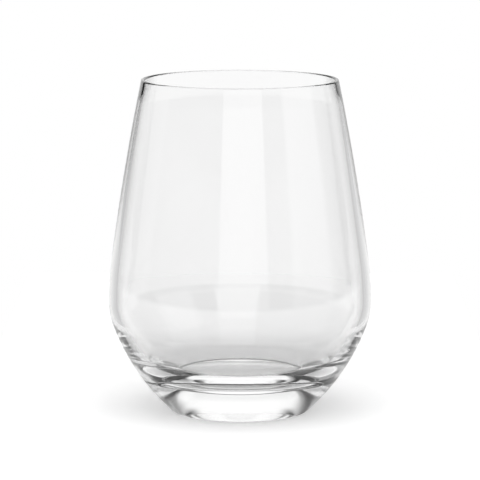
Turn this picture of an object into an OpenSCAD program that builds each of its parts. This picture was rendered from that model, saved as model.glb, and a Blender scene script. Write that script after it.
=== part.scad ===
// Stemless wine glass: a thin-walled bowl fused to a thick solid base.
// Everything is turned about the Z axis, and the glass stands on z = 0. Sizes are in millimetres.

/* [Outline] */
// Height from the table to the top of the lip
height = 111.4; // [100:0.1:125]
// Outside diameter at the lip
lip_d = 65.9; // [58:0.1:74]
// Largest diameter, at the belly
belly_d = 88; // [82:0.1:96]
// Height of the belly above the table
belly_z = 36.7; // [33:0.1:42]
// Diameter of the foot, out to where the heel starts to turn up
foot_d = 45.2; // [40:0.1:50]

/* [Curves of the side] */
// Radius of the shoulder, the curve just above the belly
shoulder_r = 102; // [70:1:140]
// Angle that the shoulder turns before the nearly straight upper wall takes over
shoulder_angle = 7.35; // [5:0.05:9]
// Radius of the hip, the tight curve just under the belly
hip_r = 21.3; // [14:0.1:30]
// Radius of the flank, the long curve from the hip down to the heel
flank_r = 72; // [64:0.5:100]
// Radius of the heel, where the flank turns under
heel_r = 1; // [0.5:0.1:3]

/* [Thickness of the glass] */
// Thickness of the lip, which is fully rounded
lip_t = 1.5; // [1:0.05:2.4]
// Thickness of the wall at the belly
wall_t = 2.9; // [1.6:0.05:3.4]
// Height of the level where the bowl is fused to the base
base_h = 9.2; // [6:0.1:10]

/* [Inside floor] */
// Height of the inside floor at its middle
floor_z = 12.2; // [11.5:0.1:14]
// Radius of the dish of the inside floor
floor_r = 200; // [150:5:400]
// Radius of the inside corner between the floor and the side
corner_r = 17; // [8:0.5:21]
// Radius of the inside of the flank, the long curve from the corner up to the hip
side_r = 64; // [56:0.5:78]
// Angle below the belly at which that long curve leaves the hip
side_angle = 24; // [20:0.1:28]

/* [Underside] */
// Width of the flat ring that the glass stands on
ring_w = 1.2; // [0.8:0.1:4]
// Depth of the very shallow hollow inside that ring
hollow_h = 0.05; // [0.02:0.01:1.5]

/* [Hidden] */
$fn = 180;
// Furthest that a chord of the outline may stand off its true arc
chord_error = 0.008;
glass_colour = [0.86, 0.90, 0.90, 0.45];
base_colour = [0.78, 0.84, 0.85, 0.55];

// A point at distance 1 in direction a
function unit(a) = [cos(a), sin(a)];

// The direction from point p to point q
function heading(p, q) = atan2(q[1] - p[1], q[0] - p[0]);

// Points along an arc about c from angle a to angle b, close enough together to keep chord_error
function arc(c, r, a, b) =
    let (steps = max(2, ceil(abs(b - a) / (2 * acos(1 - chord_error / r)))))
    [for (i = [0:steps]) c + r * unit(a + (b - a) * i / steps)];

// Where a circle about p and a circle about q cross, on the left of the line from p to q
function crossing(p, p_r, q, q_r) =
    let (gap = norm(q - p), along = (p_r * p_r - q_r * q_r + gap * gap) / (2 * gap))
    p + along * unit(heading(p, q)) + sqrt(p_r * p_r - along * along) * unit(heading(p, q) + 90);

// The signed radius of an arc that leaves point p square to direction a and ends at point q
function tangent_radius(p, a, q) = -((q - p) * (q - p)) / (2 * unit(a) * (q - p));

// Points of that arc
function tangent_arc(p, a, q) =
    let (r = tangent_radius(p, a, q), c = p - r * unit(a))
    arc(c, r, a, heading(c, q));

function reversed(points) = [for (i = [len(points) - 1:-1:0]) points[i]];

// Centres of the arcs of the side, each one tangent to the next
shoulder_c = [belly_d / 2 - shoulder_r, belly_z];
hip_c = [belly_d / 2 - hip_r, belly_z];
heel_c = [foot_d / 2, heel_r];
flank_c = crossing(heel_c, flank_r - heel_r, hip_c, flank_r - hip_r);
lip_c = [(lip_d - lip_t) / 2, height - lip_t / 2];

// Directions, seen from the arcs' centres, in which one arc passes into the next
hip_end = heading(flank_c, hip_c);
flank_end = heading(flank_c, heel_c);

// Outside of the glass, from the heel up to the lip
outside = concat(
    arc(heel_c, heel_r, -90, flank_end),
    arc(flank_c, flank_r, flank_end, hip_end),
    arc(hip_c, hip_r, hip_end, 0),
    arc(shoulder_c, shoulder_r, 0, shoulder_angle),
    tangent_arc(shoulder_c + shoulder_r * unit(shoulder_angle), shoulder_angle, lip_c + [lip_t / 2, 0]));

// The inside keeps the centres of the shoulder and of the hip, one wall thickness in, and then swings
// in on a long curve of its own to the rounded corner, so that the glass thickens towards the base
inner_hip_r = hip_r - wall_t;
side_c = hip_c + (inner_hip_r - side_r) * unit(-side_angle);
floor_c = [0, floor_z + floor_r];
corner_c = crossing(floor_c, floor_r - corner_r, side_c, side_r - corner_r);
floor_end = heading(floor_c, corner_c);
corner_end = heading(side_c, corner_c);
inner_top = shoulder_c + (shoulder_r - wall_t) * unit(shoulder_angle);

// Inside of the glass, from the middle of the floor up to the lip
inside = concat(
    arc(floor_c, floor_r, -90, floor_end),
    arc(corner_c, corner_r, floor_end, corner_end),
    arc(side_c, side_r, corner_end, -side_angle),
    arc(hip_c, inner_hip_r, -side_angle, 0),
    arc(shoulder_c, shoulder_r - wall_t, 0, shoulder_angle),
    tangent_arc(inner_top, shoulder_angle, lip_c - [lip_t / 2, 0]));

// The shallow dome of the underside, from the axis out to the standing ring
hollow_edge = foot_d / 2 - ring_w;
dome_r = (hollow_edge * hollow_edge + hollow_h * hollow_h) / (2 * hollow_h);
dome_c = [0, hollow_h - dome_r];
underside = arc(dome_c, dome_r, 90, heading(dome_c, [hollow_edge, 0]));

lip = arc(lip_c, lip_t / 2, 0, 180);

// Half of the glass cut through its axis
module section() {
    polygon(concat(underside, outside, lip, reversed(inside)));
}

// The part of that section between two heights
module section_between(low, high) {
    intersection() {
        section();
        translate([0, low])
            square([belly_d, high - low]);
    }
}

// Thin wall, lip and inside floor
module bowl() {
    color(glass_colour)
        rotate_extrude()
            section_between(base_h, height + lip_t);
}

// Solid glass under the inside floor, down to the standing ring
module base() {
    color(base_colour)
        rotate_extrude()
            section_between(0, base_h);
}

bowl();
base();
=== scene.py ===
# %% [markdown]
# # A stemless wine glass
# The real object is one piece of clear glass: a thin blown bowl, drawn in towards the lip, that runs
# straight into a thick solid base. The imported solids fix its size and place. This notebook gives it one
# continuous skin, a glass that bends light, and a small white studio like the one it was photographed in.

# %% Load the frame
from math import acos, atan2, ceil, cos, degrees, pi, radians, sin, sqrt

import bmesh
import bpy
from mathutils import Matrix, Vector


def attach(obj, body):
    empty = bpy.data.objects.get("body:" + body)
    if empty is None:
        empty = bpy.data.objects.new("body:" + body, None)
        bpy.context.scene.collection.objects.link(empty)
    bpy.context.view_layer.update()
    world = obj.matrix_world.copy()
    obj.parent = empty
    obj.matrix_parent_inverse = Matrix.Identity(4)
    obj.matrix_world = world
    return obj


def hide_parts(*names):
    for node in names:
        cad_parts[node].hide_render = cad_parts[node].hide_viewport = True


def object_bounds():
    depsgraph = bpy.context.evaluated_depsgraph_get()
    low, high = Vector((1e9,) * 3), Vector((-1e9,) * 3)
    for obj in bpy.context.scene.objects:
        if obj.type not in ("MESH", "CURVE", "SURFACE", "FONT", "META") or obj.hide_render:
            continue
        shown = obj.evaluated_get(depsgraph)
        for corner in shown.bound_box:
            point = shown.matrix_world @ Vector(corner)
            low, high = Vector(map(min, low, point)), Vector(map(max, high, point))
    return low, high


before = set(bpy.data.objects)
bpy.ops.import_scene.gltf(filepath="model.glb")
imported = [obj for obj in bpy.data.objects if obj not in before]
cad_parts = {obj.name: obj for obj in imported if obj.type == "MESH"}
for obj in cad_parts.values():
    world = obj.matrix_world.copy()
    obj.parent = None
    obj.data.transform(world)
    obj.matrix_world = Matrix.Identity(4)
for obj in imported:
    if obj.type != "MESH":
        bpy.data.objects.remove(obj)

cad_low, cad_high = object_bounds()
print("solids:", sorted(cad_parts), "box", [round(v, 4) for v in (*cad_low, *cad_high)])

# %% [markdown]
# ## The outline
# A drinking glass is turned about one axis, so half of its section says everything about its shape. The
# outline could be drawn as a freehand spline, but a mould maker draws it with a compass: a few arcs, each
# one tangent to the next, so that light runs over the joins without a kink. The height and the widest
# radius are read from the frame. The other sizes, in millimetres, are the solids' own, apart from the lip:
# it is drawn 0.3 mm thinner than theirs, on its inside, because it shows as a very thin line.

# %% Driving sizes of the outside
MM = 0.001
height = cad_high.z / MM
belly_r = cad_high.x / MM
belly_z = 36.7
lip_d = 65.9
lip_t = 1.2
foot_d = 45.2
shoulder_r = 102.0  # the curve just above the belly
shoulder_angle = radians(7.35)  # where the nearly straight upper wall takes over from the shoulder
hip_r = 21.3  # the tight curve just under the belly
flank_r = 72.0  # the long curve from the hip down to the heel
heel_r = 1.0  # where the flank turns under
print(f"glass {height:.1f} mm high and {2 * belly_r:.1f} mm across")

# %% Compass and rule
chord_error = 0.002


def unit(angle):
    return Vector((cos(angle), sin(angle)))


def heading(start, end):
    return atan2(end.y - start.y, end.x - start.x)


def arc(centre, radius, start, end):
    """Points along an arc, close enough together that no chord stands off it by more than chord_error."""
    steps = max(2, ceil(abs(end - start) / (2 * acos(1 - chord_error / abs(radius)))))
    return [centre + radius * unit(start + (end - start) * i / steps) for i in range(steps + 1)]


def crossing(p, p_radius, q, q_radius):
    """Where two circles cross, on the left of the line from the first centre to the second."""
    gap = (q - p).length
    along = (p_radius**2 - q_radius**2 + gap**2) / (2 * gap)
    way = heading(p, q)
    return p + along * unit(way) + sqrt(p_radius**2 - along**2) * unit(way + pi / 2)


def tangent_arc(start, angle, end):
    """An arc that leaves a point square to a direction and ends at another point."""
    radius = -((end - start).length_squared) / (2 * unit(angle).dot(end - start))
    centre = start - radius * unit(angle)
    return arc(centre, radius, angle, heading(centre, end))


print(f"a full circle of the hip would take {len(arc(Vector((0, 0)), hip_r, 0, 2 * pi)) - 1} chords")

# %% The outside, from the heel up to the lip
shoulder_c = Vector((belly_r - shoulder_r, belly_z))
hip_c = Vector((belly_r - hip_r, belly_z))
heel_c = Vector((foot_d / 2, heel_r))
flank_c = crossing(heel_c, flank_r - heel_r, hip_c, flank_r - hip_r)
lip_c = Vector(((lip_d - lip_t) / 2, height - lip_t / 2))
hip_end = heading(flank_c, hip_c)
flank_end = heading(flank_c, heel_c)
outer_top = shoulder_c + shoulder_r * unit(shoulder_angle)
outside = [
    *arc(heel_c, heel_r, -pi / 2, flank_end),
    *arc(flank_c, flank_r, flank_end, hip_end),
    *arc(hip_c, hip_r, hip_end, 0),
    *arc(shoulder_c, shoulder_r, 0, shoulder_angle),
    *tangent_arc(outer_top, shoulder_angle, lip_c + Vector((lip_t / 2, 0))),
]
flank_slope = degrees(flank_end) + 90
print(f"outside: {len(outside)} points, the flank leaves the heel {flank_slope:.1f} degrees from level")

# %% [markdown]
# ## The inside and the underside
# The inside of the wall keeps the centres of the shoulder and of the hip, one wall thickness in. Then it
# swings in on a long curve of its own and a large rounded corner to a floor that is very slightly dished,
# so the glass grows thick towards the base. Underneath, the foot stands on a narrow flat ring round a
# very shallow hollow. Offsetting the outline would be quicker, but these hidden curves matter as much as
# the outside ones: they are the lenses that draw every grey and dark line that the base shows.

# %% The inside, from the middle of the floor up to the lip
wall_t = 2.9  # thickness at the belly
side_r = 64.0  # the long curve from the hip down to the corner
side_angle = radians(24)  # how far below the belly that curve leaves the hip
corner_r = 17.0
floor_z = 12.2
floor_r = 200.0
inner_hip_r = hip_r - wall_t
side_c = hip_c + (inner_hip_r - side_r) * unit(-side_angle)
floor_c = Vector((0, floor_z + floor_r))
corner_c = crossing(floor_c, floor_r - corner_r, side_c, side_r - corner_r)
floor_end = heading(floor_c, corner_c)
corner_end = heading(side_c, corner_c)
inner_top = shoulder_c + (shoulder_r - wall_t) * unit(shoulder_angle)
inside = [
    *arc(floor_c, floor_r, -pi / 2, floor_end),
    *arc(corner_c, corner_r, floor_end, corner_end),
    *arc(side_c, side_r, corner_end, -side_angle),
    *arc(hip_c, inner_hip_r, -side_angle, 0),
    *arc(shoulder_c, shoulder_r - wall_t, 0, shoulder_angle),
    *tangent_arc(inner_top, shoulder_angle, lip_c - Vector((lip_t / 2, 0))),
]
print(f"inside: {len(inside)} points, floor {floor_z:.1f} mm above the table")

# %% The underside
ring_w = 1.2
hollow_h = 0.05
hollow_edge = foot_d / 2 - ring_w
dome_r = (hollow_edge**2 + hollow_h**2) / (2 * hollow_h)
dome_c = Vector((0, hollow_h - dome_r))
underside = arc(dome_c, dome_r, pi / 2, heading(dome_c, Vector((hollow_edge, 0))))
print(f"underside: {len(underside)} points, hollow {2 * hollow_edge:.1f} mm across")

# %% The whole section, without the points that two arcs share
closest = 0.001
lip = arc(lip_c, lip_t / 2, 0, pi)
drawn = [*underside, *outside, *lip, *reversed(inside)]
before_first = Vector((-1, 0))
section = [p for p, before in zip(drawn, [before_first, *drawn]) if (p - before).length > closest]
section[0].x = 0
section[-1].x = 0
print(f"section: {len(section)} points from the middle of the underside to the middle of the floor")

# %% [markdown]
# ## The lathe
# The section becomes a glass by turning it about the axis. The Screw modifier or a spin in edit mode could
# do it, but a Geometry Nodes tree keeps the rule visible: a flat grid has one row of points for each step
# of the turn and one column for each point of the section, and every grid point is moved to its place.
# Welding then closes the seam of the turn, and the two poles on the axis.


# %% A helper that adds a node
def add(tree, kind, inputs=None, **settings):
    """Adds a node, sets its own settings, and fills or links its inputs."""
    node = tree.nodes.new(kind)
    for name, value in settings.items():
        setattr(node, name, value)
    for socket, value in (inputs or {}).items():
        if isinstance(value, bpy.types.NodeSocket):
            tree.links.new(value, node.inputs[socket])
        else:
            node.inputs[socket].default_value = value
    return node


# %% What the lathe is given
lathe = bpy.data.node_groups.new("lathe", "GeometryNodeTree")
ports = {}
for name, kind in (
    ("Section", "NodeSocketGeometry"),
    ("Steps of the turn", "NodeSocketInt"),
    ("Weld distance", "NodeSocketFloat"),
    ("Finish", "NodeSocketMaterial"),
):
    ports[name] = lathe.interface.new_socket(name, in_out="INPUT", socket_type=kind).identifier
lathe.interface.new_socket("Glass", in_out="OUTPUT", socket_type="NodeSocketGeometry")
given = add(lathe, "NodeGroupInput").outputs
print("lathe inputs:", ", ".join(ports))

# %% The grid, and the row and column of each of its points
size = add(lathe, "GeometryNodeAttributeDomainSize", {"Geometry": given["Section"]})
points = size.outputs["Point Count"]
steps = given["Steps of the turn"]
rows = add(lathe, "ShaderNodeMath", {0: steps, 1: 1}, operation="ADD").outputs[0]
grid = add(lathe, "GeometryNodeMeshGrid", {"Vertices X": rows, "Vertices Y": points})
index = add(lathe, "GeometryNodeInputIndex").outputs[0]
column = add(lathe, "ShaderNodeMath", {0: index, 1: points}, operation="MODULO").outputs[0]
row = add(lathe, "ShaderNodeMath", {0: index, 1: points}, operation="DIVIDE").outputs[0]
whole_row = add(lathe, "ShaderNodeMath", {0: row}, operation="FLOOR").outputs[0]
share = add(lathe, "ShaderNodeMath", {0: whole_row, 1: steps}, operation="DIVIDE").outputs[0]
turn = add(lathe, "ShaderNodeMath", {0: share, 1: 2 * pi}, operation="MULTIPLY").outputs[0]
print(f"lathe: {len(lathe.nodes)} nodes find each point's row and column")

# %% Each point takes its place in the section and is turned by its row's share of the circle
place = add(lathe, "GeometryNodeInputPosition").outputs[0]
drawn_point = add(
    lathe,
    "GeometryNodeSampleIndex",
    {"Geometry": given["Section"], "Value": place, "Index": column},
    data_type="FLOAT_VECTOR",
).outputs[0]
turned = add(
    lathe, "ShaderNodeVectorRotate", {"Vector": drawn_point, "Angle": turn}, rotation_type="Z_AXIS"
).outputs[0]
moved = add(lathe, "GeometryNodeSetPosition", {"Geometry": grid.outputs["Mesh"], "Position": turned})
welded = add(
    lathe,
    "GeometryNodeMergeByDistance",
    {"Geometry": moved.outputs[0], "Distance": given["Weld distance"]},
)
smooth = add(lathe, "GeometryNodeSetShadeSmooth", {"Geometry": welded.outputs[0]})
real = add(lathe, "GeometryNodeRealizeInstances", {"Geometry": smooth.outputs[0]})
finished = add(lathe, "GeometryNodeSetMaterial", {"Geometry": real.outputs[0], "Material": given["Finish"]})
add(lathe, "NodeGroupOutput", {"Glass": finished.outputs[0]})
print(f"lathe: {len(lathe.nodes)} nodes in all")

# %% [markdown]
# ## The glass
# Soda-lime glass, blown in a polished mould and then fire-polished: a flame melts the skin until it is
# smoother than any tool could make it. To the eye that gives a surface with no grain at all, only sharp
# reflections with a very slight waver, and a body with no colour of its own. A Glass BSDF would do, but
# the Principled shader carries its transmission, roughness and index of refraction to other programs too.


# %% Colours are written as they look on a screen
def linear(code):
    """A colour such as #F4F4F4 as the light values that a shader needs."""
    shades = [int(code[i : i + 2], 16) / 255 for i in (1, 3, 5)]
    return [*(s / 12.92 if s <= 0.04045 else ((s + 0.055) / 1.055) ** 2.4 for s in shades), 1.0]


print(f"the grey #808080 looks half as bright as white, and is {linear('#808080')[0]:.2f} of its light")

# %% Soda-lime glass, fire-polished
wave_length = 14
wave_height = 0.012


def soda_lime_glass():
    # The flame leaves no grain, so the roughness is nil. The skin that it softened has flowed a little,
    # which leaves very faint waves about a finger's width apart and a hundredth of a millimetre high.
    material = bpy.data.materials.new("soda-lime glass, fire-polished")
    material.use_nodes = True
    tree = material.node_tree
    tree.nodes.clear()
    where = add(tree, "ShaderNodeTexCoord").outputs["Object"]
    wave_scale = 1 / (wave_length * MM)
    waves = add(tree, "ShaderNodeTexNoise", {"Vector": where, "Scale": wave_scale, "Detail": 0.0})
    flowed = add(tree, "ShaderNodeBump", {"Height": waves.outputs["Fac"], "Distance": wave_height * MM})
    body = add(
        tree,
        "ShaderNodeBsdfPrincipled",
        {
            "Base Color": linear("#FFFFFF"),
            "Roughness": 0.0,
            "IOR": 1.52,
            "Transmission Weight": 1.0,
            "Normal": flowed.outputs[0],
        },
    )
    add(tree, "ShaderNodeOutputMaterial", {"Surface": body.outputs[0]})
    return material


clear_glass = soda_lime_glass()
print("material:", clear_glass.name)

# %% [markdown]
# ## Turning the glass
# The section is drawn as a mesh of points and edges in the XZ plane, the lathe is put on it as a modifier,
# and the evaluated result is taken as a plain mesh. The glass stands on the table at the origin, where the
# solids stand, so nothing has to be fitted.

# %% Turn the section
turn_steps = 256
weld_distance = 0.0002
drawing = bpy.data.meshes.new("section")
drawing.from_pydata(
    [(p.x * MM, 0, p.y * MM) for p in section], [(i, i + 1) for i in range(len(section) - 1)], []
)
glass = bpy.data.objects.new("glass", drawing)
bpy.context.collection.objects.link(glass)
turning = glass.modifiers.new("turning", "NODES")
turning.node_group = lathe
turning[ports["Steps of the turn"]] = turn_steps
turning[ports["Weld distance"]] = weld_distance * MM
turning[ports["Finish"]] = clear_glass
skin = bpy.data.meshes.new_from_object(glass.evaluated_get(bpy.context.evaluated_depsgraph_get()))
skin.name = "glass"
glass.modifiers.remove(turning)
glass.data = skin
bpy.data.meshes.remove(drawing)
print(f"turned {len(section)} points in {turn_steps} steps")

# %% Measure it
ML = 1e-6
shape = bmesh.new()
shape.from_mesh(skin)
open_edges = sum(not edge.is_manifold for edge in shape.edges)
volume = shape.calc_volume(signed=True)
shape.free()
print(f"glass: {len(skin.polygons)} faces, {open_edges} open edges, {volume / ML:.1f} ml of glass")

# %% [markdown]
# ## One skin for two solids
# The solids are a bowl and a base that touch on a flat level. Drawn as two bodies of glass, they would show
# a film of air between them, which the real glass doesn't have. So the one skin stands for both.

# %% It stands for both solids
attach(glass, "root")
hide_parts("bowl", "base")
print("the glass stands for the bowl and the base")

# %% [markdown]
# ## The table
# The glass stands on a sheet of white paper. It has to keep the soft shadow round the foot, so it is a
# plain matt surface and not a white light. A large backdrop could be swept up behind the glass, but a small
# sheet is enough: the world is white past its edges, and the sides of the glass look past it into the
# studio. A little glow, which only the camera sees, takes the paper to pure white without lighting
# anything else.

# %% A sheet of paper
paper_half_w = 90
paper_front = -130
paper_back = 290
corners = [(x * MM, y * MM, 0) for x in (-paper_half_w, paper_half_w) for y in (paper_front, paper_back)]
paper_mesh = bpy.data.meshes.new("paper")
paper_mesh.from_pydata(corners, [], [(0, 2, 3, 1)])
paper = bpy.data.objects.new("paper", paper_mesh)
bpy.context.collection.objects.link(paper)
print(f"paper: {2 * paper_half_w} mm wide, {paper_back - paper_front} mm long")

# %% White paper
paper_glow = 0.22
white_paper = bpy.data.materials.new("white paper")
white_paper.use_nodes = True
tree = white_paper.node_tree
tree.nodes.clear()
matt = add(tree, "ShaderNodeBsdfDiffuse", {"Color": linear("#FFFFFF")})
seen = add(tree, "ShaderNodeLightPath").outputs["Is Camera Ray"]
lift = add(tree, "ShaderNodeMath", {0: seen, 1: paper_glow}, operation="MULTIPLY").outputs[0]
glow = add(tree, "ShaderNodeEmission", {"Strength": lift})
both = add(tree, "ShaderNodeAddShader", {0: matt.outputs[0], 1: glow.outputs[0]})
add(tree, "ShaderNodeOutputMaterial", {"Surface": both.outputs[0]})
white_paper.cycles.emission_sampling = "NONE"
paper_mesh.materials.append(white_paper)
print("material:", white_paper.name)

# %% [markdown]
# ## The studio
# Clear glass shows nothing but what surrounds it. A photographer puts white behind it and dark at the
# sides, so that the edges draw themselves as dark lines, and hangs soft boxes in front for the long pale
# reflections. Lamps and cards could be built as objects, but they would light the paper as well. Here the
# studio is a picture on the world, painted panel by panel over the directions round the glass.

# %% Directions of the world
world = bpy.data.worlds.new("white studio")
bpy.context.scene.world = world
world.use_nodes = True
sky = world.node_tree
sky.nodes.clear()
direction = add(sky, "ShaderNodeTexCoord").outputs["Generated"]
parts = add(sky, "ShaderNodeSeparateXYZ", {0: direction}).outputs
around = add(sky, "ShaderNodeMath", {0: parts["X"], 1: parts["Y"]}, operation="ARCTAN2").outputs[0]
above = add(sky, "ShaderNodeMath", {0: parts["Z"]}, operation="ARCSINE").outputs[0]
print("world:", world.name)


# %% The edges of a panel
def within(angle, low, high, edge):
    """How far a direction is inside a span of angles, from 0 to 1 over a soft edge, all in degrees."""
    middle = radians((low + high) / 2)
    off = add(sky, "ShaderNodeMath", {0: angle, 1: middle}, operation="SUBTRACT").outputs[0]
    near = add(sky, "ShaderNodeMath", {0: off, 1: pi, 2: -pi}, operation="WRAP").outputs[0]
    far = add(sky, "ShaderNodeMath", {0: near}, operation="ABSOLUTE").outputs[0]
    reach = (high - low) / 2
    return add(
        sky,
        "ShaderNodeMapRange",
        {
            "Value": far,
            "From Min": radians(reach + edge),
            "From Max": radians(reach - edge),
            "To Min": 0.0,
            "To Max": 1.0,
        },
        interpolation_type="SMOOTHSTEP",
    ).outputs[0]


# %% Paint the panels, each one over those before it
ALL_ROUND = (-200, 200, 1)
panels = (
    # Each has its brightness, its azimuths and its elevations, as low, high and soft edge. Azimuth 0 is the
    # middle of the back, and it grows to the camera's right.
    ("dark below the camera", 0.02, (90, 270, 3.5), (-40, 4.5, 3.5)),
    ("dark overhead", 0.0, ALL_ROUND, (11, 100, 1.5)),
    ("dark wall on the right", 0.02, (40, 88, 3), (-90, 90, 3)),
    ("pale wall on the right", 0.6, (40, 61, 3), (-90, 6, 2)),
    ("gap on the right", 0.55, (20, 40, 1.5), (-90, 7, 1.5)),
    ("gap on the left", 0.03, (-40, -20, 1.5), (-90, 90, 1.5)),
    ("pale wall on the left", 0.7, (-64, -40, 2), (-90, 6, 2)),
    ("wide soft box", 1.02, (155, 199, 1.5), (-12, 45, 1.5)),
    ("narrow soft box", 0.74, (91, 130.5, 2.5), (-12, 45, 1.5)),
    ("foot of the wide soft box", 0.45, (155, 199, 1.5), (-12, 4.5, 3.5)),
    ("foot of the narrow soft box", 0.36, (91, 130.5, 2.5), (-12, 4.5, 3.5)),
    ("ceiling", 0.4, ALL_ROUND, (55, 100, 6)),
    ("white backdrop", 0.96, (-29, 31.5, 1.5), (-90, 11, 2)),
    ("light on the backdrop", 1.1, (-30, 30, 7), (8, 17, 3)),
    ("light above the backdrop", 1.1, (-22, 22, 5), (11, 70, 3)),
    ("light high at the back", 1.1, (-35, 35, 3), (36, 70, 4)),
    ("table", 0.6, (-70, 70, 1), (-100, -3.6, 0.7)),
    ("table behind", 0.96, (-22, 22, 16), (-100, -3.6, 0.7)),
    ("table in front", 1.0, (50, 310, 1), (-100, -5.5, 1)),
)
bare_room = 0.35
picture = bare_room
for title, brightness, azimuths, elevations in panels:
    across = within(around, *azimuths)
    upright = within(above, *elevations)
    mask = add(sky, "ShaderNodeMath", {0: across, 1: upright}, operation="MULTIPLY").outputs[0]
    picture = add(sky, "ShaderNodeMix", {0: mask, 2: picture, 3: brightness}, data_type="FLOAT").outputs[0]
    print(f"painted: {title}")

# %% [markdown]
# ## Who sees what
# The one world serves three kinds of ray. The light that falls on the paper comes from a plain dome with a
# broad soft lamp in it, high up and a little towards the camera, so that the shadow stays close round the
# foot. A ray that the glass has bent or mirrored sees the painted studio. The camera sees plain white
# past the glass. A ray that left the paper before it met the glass carries light to the paper, so it has to
# see the dome as well: Diffuse Depth counts the matt surfaces that a ray has met, and tells it apart.

# %% The dome and its lamp
dome_level = 0.61
lamp_level = 1.84
lamp_reach = 33
lamp_edge = 14
lamp_tilt = radians(26)
lamp_axis = (0, -sin(lamp_tilt), cos(lamp_tilt))
towards = add(sky, "ShaderNodeVectorMath", {0: direction, 1: lamp_axis}, operation="DOT_PRODUCT")
off_axis = add(sky, "ShaderNodeMath", {0: towards.outputs["Value"]}, operation="ARCCOSINE").outputs[0]
lamp = within(off_axis, -lamp_reach, lamp_reach, lamp_edge)
dome = add(sky, "ShaderNodeMix", {0: lamp, 2: dome_level, 3: lamp_level}, data_type="FLOAT").outputs[0]
print(f"lamp: {2 * lamp_reach} degrees across, {degrees(lamp_tilt):.0f} degrees from straight above")

# %% Each kind of ray gets its own world
white = 1.0
fewer_than_one = 0.5
ray = add(sky, "ShaderNodeLightPath").outputs
sharp = add(
    sky, "ShaderNodeMath", {0: ray["Is Glossy Ray"], 1: ray["Is Transmission Ray"]}, operation="MAXIMUM"
).outputs[0]
unscattered = add(
    sky, "ShaderNodeMath", {0: ray["Diffuse Depth"], 1: fewer_than_one}, operation="LESS_THAN"
).outputs[0]
from_glass = add(sky, "ShaderNodeMath", {0: sharp, 1: unscattered}, operation="MULTIPLY").outputs[0]
unseen = add(sky, "ShaderNodeMix", {0: from_glass, 2: dome, 3: picture}, data_type="FLOAT").outputs[0]
strength = add(
    sky, "ShaderNodeMix", {0: ray["Is Camera Ray"], 2: unseen, 3: white}, data_type="FLOAT"
).outputs[0]
background = add(sky, "ShaderNodeBackground", {"Color": linear("#FFFFFF"), "Strength": strength})
add(sky, "ShaderNodeOutputWorld", {"Surface": background.outputs[0]})
print(f"world: {len(sky.nodes)} nodes")

# %% [markdown]
# ## The camera
# A long lens from about a metre, a little above the lip, as a product photographer stands. Its distance,
# height and tilt were worked out from the ellipses of the lip and of the foot in the picture. A closer
# camera with a shorter lens would frame the glass as well, but it would open those ellipses too far.

# %% Camera
camera_distance = 1060
camera_height = 213.98
camera_tilt = 0.1467
sensor_w = 36
focal_length = 240.3
camera = bpy.data.objects.new("camera", bpy.data.cameras.new("camera"))
bpy.context.collection.objects.link(camera)
camera.location = (0, -camera_distance * MM, camera_height * MM)
camera.rotation_euler = (pi / 2 - camera_tilt, 0, 0)
camera.data.sensor_width = sensor_w
camera.data.lens = focal_length
bpy.context.scene.camera = camera
print(f"camera: {camera_distance} mm away, looking {degrees(camera_tilt):.1f} degrees down")

# %% [markdown]
# ## How far light is followed
# Light crosses the skin of the glass many times before it finds its way out of the thick base. With
# Blender's usual limits those paths are cut off and leave a black wedge that no real glass has, so the
# limits are raised. The Standard view then shows each level of light as it is.

# %% Bounces and view
glass_bounces = 24
all_bounces = 32
bpy.context.scene.cycles.max_bounces = all_bounces
bpy.context.scene.cycles.glossy_bounces = glass_bounces
bpy.context.scene.cycles.transmission_bounces = glass_bounces
bpy.context.scene.view_settings.view_transform = "Standard"
print(f"bounces: {glass_bounces} in the glass, {all_bounces} in all")
